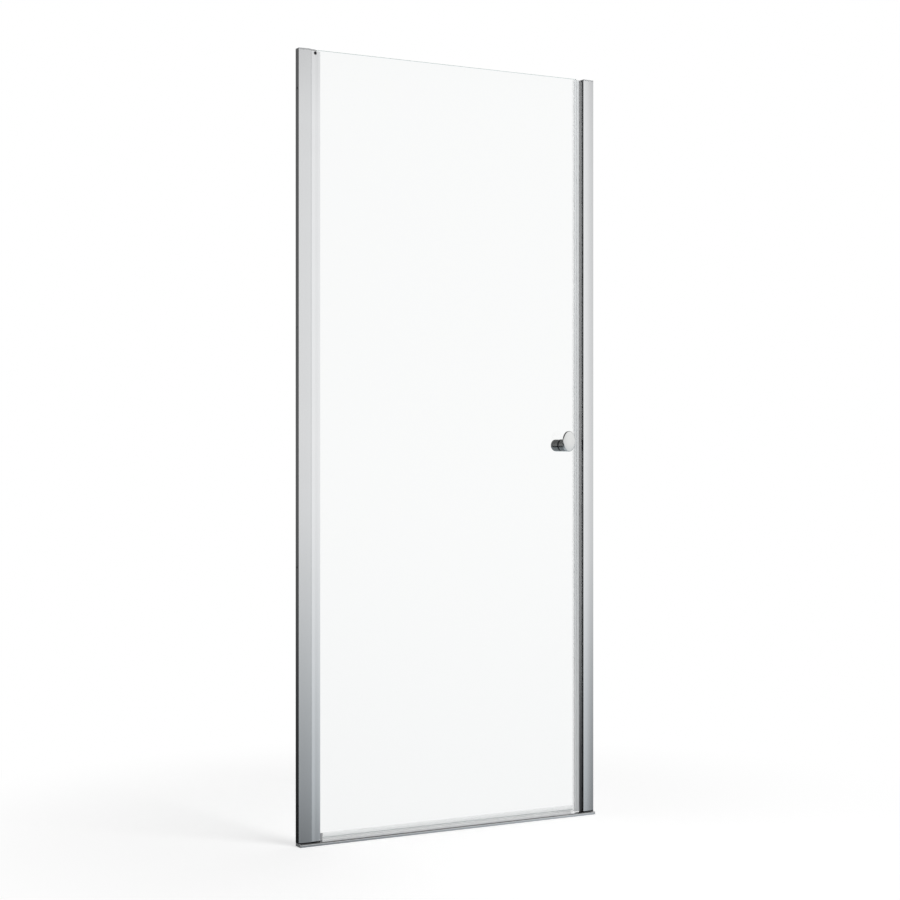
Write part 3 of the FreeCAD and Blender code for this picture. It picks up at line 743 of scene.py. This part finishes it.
class DOOR_OT_threshold(bpy.types.Operator):
    """Finishes the threshold rail and rounds its end caps"""
    bl_idname = "door.threshold"
    bl_label = "Threshold"

    def execute(self, context):
        look, sizes = context.scene.door_finishes, context.scene.door_sizes
        give(aluminium("aluminium_lengthwise", "X"), "threshold_rail")
        ends = copied("rail_end_caps", "rail_end_caps_rounded")
        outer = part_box("rail_end_caps")[1].x - 0.2 * MM
        soften(ends, sizes.rail_cap_round, 3,
               lambda edge: sharp(edge) and abs(middle(edge).x) > outer)
        moulded = plastic("end_cap_plastic", look.grey, roughness=0.35, grain=0.01 * MM)
        done(ends, moulded, "grey_plastic", "frame", "rail_end_caps")
        return {"FINISHED"}


class DOOR_OT_caps(bpy.types.Operator):
    """Makes the soft-edged caps, pads and end block, and finishes the other plastic parts"""
    bl_idname = "door.caps"
    bl_label = "Caps and pads"

    def execute(self, context):
        look, sizes = context.scene.door_finishes, context.scene.door_sizes
        grey = plastic("grey_plastic", look.grey, roughness=0.42, grain=0.01 * MM)
        black = plastic("black_plastic", look.black, roughness=0.40, grain=0.02 * MM)
        smooth = plastic("bearing_plastic", look.black, roughness=0.30, grain=0.01 * MM)
        for side in ("hinge", "latch"):
            cap = copied(side + "_top_cap", side + "_top_cap_rounded")
            near_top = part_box(side + "_top_cap")[1].z - 0.1 * MM
            soften(cap, sizes.cap_round, 3,
                   lambda edge: sharp(edge) and middle(edge).z > near_top)
            done(cap, grey, "grey_plastic", "frame", side + "_top_cap")
            pad = copied(side + "_foot_pad", side + "_foot_pad_rounded")
            soften(pad, sizes.pad_round, 2)
            done(pad, black, "black_plastic", "frame", side + "_foot_pad")
        block = copied("drip_seal_end", "drip_seal_end_rounded")
        outside_glass = 4.0 * MM
        soften(block, sizes.block_round, 3,
               lambda edge: sharp(edge) and abs(middle(edge).y) > outside_glass)
        done(block, grey, "grey_plastic", "door", "drip_seal_end")
        give(grey, "jamb_screw_covers")
        give(black, "bottom_bearing_block", "bottom_pivot_block", "top_pivot_block",
             "glass_setting_block")
        give(smooth, "top_bearing_bush", "bottom_bearing_bush")
        return {"FINISHED"}


class DOOR_OT_gaskets(bpy.types.Operator):
    """Rounds the dark strike gasket, and finishes the wiper seal, washers and magnets"""
    bl_idname = "door.gaskets"
    bl_label = "Dark gaskets"

    def execute(self, context):
        look, sizes = context.scene.door_finishes, context.scene.door_sizes
        strike = copied("strike_gasket", "strike_gasket_rounded")
        low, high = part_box("strike_gasket")
        tall = (high.z - low.z) / 2

        def long_corner(edge):
            """An upright edge at the gasket's front or back."""
            lower, upper = (corner.co for corner in edge.verts)
            depth = middle(edge).y
            outermost = depth < low.y + 0.1 * MM or depth > high.y - 0.1 * MM
            return outermost and sharp(edge) and abs(upper.z - lower.z) > tall

        soften(strike, sizes.gasket_round, 3, long_corner)
        done(strike, glossy_gasket("strike_vinyl", look.gasket), "dark_gasket", "frame",
             "strike_gasket")
        soft = plastic("gasket_vinyl", look.gasket, roughness=0.42, grain=0.01 * MM)
        magnet = plastic("magnet_rubber", look.gasket, roughness=0.6, grain=0.02 * MM)
        give(soft, "hinge_wiper_seal", "outer_knob_washer", "inner_knob_washer")
        give(magnet, "strike_magnet", "door_magnet")
        return {"FINISHED"}


class DOOR_OT_glass(bpy.types.Operator):
    """Makes the pane with its ground and polished edges"""
    bl_idname = "door.glass"
    bl_label = "Glass"

    def execute(self, context):
        pane = copied("glass_panel", "glass_pane_ground")
        soften(pane, context.scene.door_sizes.glass_arris, 2)
        done(pane, pane_glass("pane_glass"), "clear_glass", "door", "glass_panel")
        return {"FINISHED"}


class DOOR_OT_seals(bpy.types.Operator):
    """Makes the clear magnetic seal and drip seal, and finishes the glazing gaskets"""
    bl_idname = "door.seals"
    bl_label = "Clear seals"

    def execute(self, context):
        look, sizes = context.scene.door_finishes, context.scene.door_sizes
        self.magnetic(look, sizes)
        self.drip(look, sizes)
        clear = clear_vinyl("gasket_clear_vinyl", look.seal, lambda x, y, z: look.seal_bead)
        give(clear, "front_glazing_gasket", "rear_glazing_gasket", "knob_sleeve")
        return {"FINISHED"}

    def magnetic(self, look, sizes):
        """Two legs that grip the glass, and a rounded box round the magnet."""
        (x0, y0, z0), (x1, y1, z1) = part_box("magnetic_seal")
        glass_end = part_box("glass_panel")[1].x
        grip, inset = sizes.seal_grip, sizes.seal_wall / 2
        web = glass_end + sizes.seal_wall
        clip = folded("magnetic_seal_soft", "Z", z0, z1,
                      [(x0, -grip), (web, -grip), (web, grip), (x0, grip)])
        back, face = web + 0.5 * MM + inset, x1 - inset
        front, rear = y0 + inset, y1 - inset
        box = folded("magnet_room", "Z", z0, z1,
                     [(back, front), (face, front), (face, rear), (back, rear)], closed=True)
        seal = joined(clip, box)
        edit(seal)
        turn_outwards()
        thickened(seal, sizes.seal_wall, sizes.seal_round)

        def hides(x, y, z):
            """The box hides most, and the front leg more and more towards it."""
            body = x.between(glass_end - 0.2 * MM, glass_end + 0.3 * MM)
            front_leg = x.between(x0, x0 + 7.0 * MM) * (1 - y.between(0.0, 1.0 * MM))
            share = body.math("MAXIMUM", front_leg)
            return share * (look.seal_box - look.seal_thin) + look.seal_thin

        def core(x, y, z):
            return x.between(x1 - 8.0 * MM, x1 + 2.0 * MM)

        vinyl = clear_vinyl("magnetic_seal_vinyl", look.seal, hides, core)
        done(seal, vinyl, "clear_seal", "door", "magnetic_seal")

    def drip(self, look, sizes):
        """The front leg and fin, the web under the glass with the rear leg, and the vane."""
        (x0, _, z0), (x1, y1, z1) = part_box("drip_seal")
        grip, inset = sizes.seal_grip, sizes.drip_wall / 2
        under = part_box("glass_panel")[0].z - 0.5 * MM
        fin = folded("drip_seal_soft", "X", x0, x1,
                     [(-grip, z0 + inset), (-grip, z1 - inset)])
        web = folded("drip_web", "X", x0, x1,
                     [(-grip + inset, under), (grip, under), (grip, z1 - inset)])
        vane = folded("drip_vane", "X", x0, x1,
                      [(grip, under - inset), (y1 - inset, z0 + inset)])
        seal = joined(fin, web, vane)
        thickened(seal, sizes.drip_wall, sizes.seal_round)

        def hides(x, y, z):
            """The fin's foot hides most."""
            share = 1 - z.between(z0, z1)
            return share * (look.seal_thick - look.seal_thin) + look.seal_thin

        vinyl = clear_vinyl("drip_seal_vinyl", look.seal, hides)
        done(seal, vinyl, "clear_seal", "door", "drip_seal")


class DOOR_OT_screws(bpy.types.Operator):
    """Makes the black lock screw with its sunk socket, and finishes the steel parts"""
    bl_idname = "door.screws"
    bl_label = "Screws and pins"

    def execute(self, context):
        look, sizes = context.scene.door_finishes, context.scene.door_sizes
        give(polished("zinc_steel", look.steel, roughness=0.34), "top_bearing_plate",
             "bearing_plate_screws", "bearing_block_screws", "rail_screws", "jamb_screws",
             "top_pivot_pin", "bottom_pivot_pin", "knob_plate_screws", "knob_stud",
             "knob_grub_screw")
        screw = self.lock_screw(sizes)
        black = plastic("blackened_steel", look.lock, roughness=0.38, grain=0.005 * MM)
        done(screw, black, "zinc_steel", "door", "pivot_lock_screw")
        return {"FINISHED"}

    def lock_screw(self, sizes):
        """A head with a rounded rim and a sunk socket, and a thinner shank behind it."""
        low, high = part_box("pivot_lock_screw")
        front, back = low.y, high.y
        radius = (high.x - low.x) / 2
        shank, socket = 2.5 * MM, 2.2 * MM
        head, dish, socket_depth = 3.0 * MM, 0.1 * MM, 1.8 * MM
        bpy.ops.object.select_all(action="DESELECT")
        bpy.ops.mesh.primitive_circle_add(
            vertices=48, radius=radius, fill_type="NGON", rotation=(QUARTER_TURN, 0.0, 0.0),
            location=((low.x + high.x) / 2, front, (low.z + high.z) / 2))
        screw = placed(bpy.context.object, "lock_screw_socket")
        edit(screw)
        bpy.ops.mesh.select_mode(type="FACE")
        bpy.ops.mesh.select_all(action="SELECT")
        extrude((0.0, head, 0.0))
        bpy.ops.mesh.inset(thickness=radius - shank)
        extrude((0.0, back - front - head, 0.0))
        fill_at(screw, front)
        pick(screw, "FACE", at_depth(front))
        bpy.ops.mesh.inset(thickness=radius - socket)
        move((0.0, dish, 0.0))
        extrude((0.0, socket_depth, 0.0))
        turn_outwards()
        in_front = at_depth(front)
        soften(screw, sizes.screw_round, 3, lambda edge: sharp(edge) and in_front(edge))
        return screw


class DOOR_OT_knobs(bpy.types.Operator):
    """Makes the outer knob's crowned oval plate, and chromes its stem and the inner knob"""
    bl_idname = "door.knobs"
    bl_label = "Knob set"

    def execute(self, context):
        look, sizes = context.scene.door_finishes, context.scene.door_sizes
        chrome = polished("knob_chrome", look.chrome, roughness=0.10)
        plate = self.oval_plate(sizes)
        done(plate, chrome, "knob_chrome", "door", "outer_knob_plate")
        give(chrome, "outer_knob_stem", "inner_knob")
        return {"FINISHED"}

    def oval_plate(self, sizes):
        """An oval plate with a flat back, a rounded edge and a front crowned in rings."""
        low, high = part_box("outer_knob_plate")
        centre = (low + high) / 2
        front, back = low.y, high.y
        crown, rings = sizes.knob_crown, 9
        bpy.ops.object.select_all(action="DESELECT")
        bpy.ops.mesh.primitive_circle_add(
            vertices=96, radius=1.0, fill_type="NGON", rotation=(QUARTER_TURN, 0.0, 0.0),
            location=ORIGIN)
        plate = placed(bpy.context.object, "knob_plate_crowned")
        edit(plate)
        bpy.ops.mesh.select_mode(type="FACE")
        bpy.ops.mesh.select_all(action="SELECT")
        stretch(((high.x - low.x) / 2, 1.0, (high.z - low.z) / 2))
        move((centre.x, back, centre.z))
        extrude((0.0, front - back + crown, 0.0))
        reach = 1.0
        for ring in range(1, rings):
            here = 1.0 - ring / rings
            rise = crown * (reach ** 2 - here ** 2)
            extrude((0.0, -rise, 0.0))
            stretch((here / reach, 1.0, here / reach), (centre.x, front, centre.z))
            reach = here
        fill_at(plate, back)
        turn_outwards()
        soften(plate, sizes.knob_rim, 5,
               lambda edge: sharp(edge) and back - middle(edge).y > crown)
        return plate


# ------------------------------------------------------------------------------------------
# Panel and running order
# ------------------------------------------------------------------------------------------
STEPS = (DOOR_OT_stage, DOOR_OT_profiles, DOOR_OT_threshold, DOOR_OT_caps, DOOR_OT_gaskets,
         DOOR_OT_glass, DOOR_OT_seals, DOOR_OT_screws, DOOR_OT_knobs)


class DOOR_PT_sidebar(bpy.types.Panel):
    """Lists the steps and the settings of the shower door"""
    bl_label = "Shower door"
    bl_idname = "DOOR_PT_sidebar"
    bl_space_type = "VIEW_3D"
    bl_region_type = "UI"
    bl_category = "Shower Door"

    def draw(self, context):
        for step in STEPS:
            self.layout.operator(step.bl_idname)
        scene = context.scene
        for group in (scene.door_sizes, scene.door_finishes, scene.door_stage):
            column = self.layout.column()
            for name in group.__annotations__:
                column.prop(group, name)


CLASSES = (DoorSizes, DoorFinishes, DoorStage) + STEPS + (DOOR_PT_sidebar,)


def register():
    for item in CLASSES:
        bpy.utils.register_class(item)
    bpy.types.Scene.door_sizes = bpy.props.PointerProperty(type=DoorSizes)
    bpy.types.Scene.door_finishes = bpy.props.PointerProperty(type=DoorFinishes)
    bpy.types.Scene.door_stage = bpy.props.PointerProperty(type=DoorStage)


def unregister():
    del bpy.types.Scene.door_stage
    del bpy.types.Scene.door_finishes
    del bpy.types.Scene.door_sizes
    for item in reversed(CLASSES):
        bpy.utils.unregister_class(item)


def main():
    register()
    bpy.ops.object.select_all(action="DESELECT")
    bpy.ops.door.stage()
    bpy.ops.door.profiles()
    bpy.ops.door.threshold()
    bpy.ops.door.caps()
    bpy.ops.door.gaskets()
    bpy.ops.door.glass()
    bpy.ops.door.seals()
    bpy.ops.door.screws()
    bpy.ops.door.knobs()


if __name__ == "__main__":
    main()
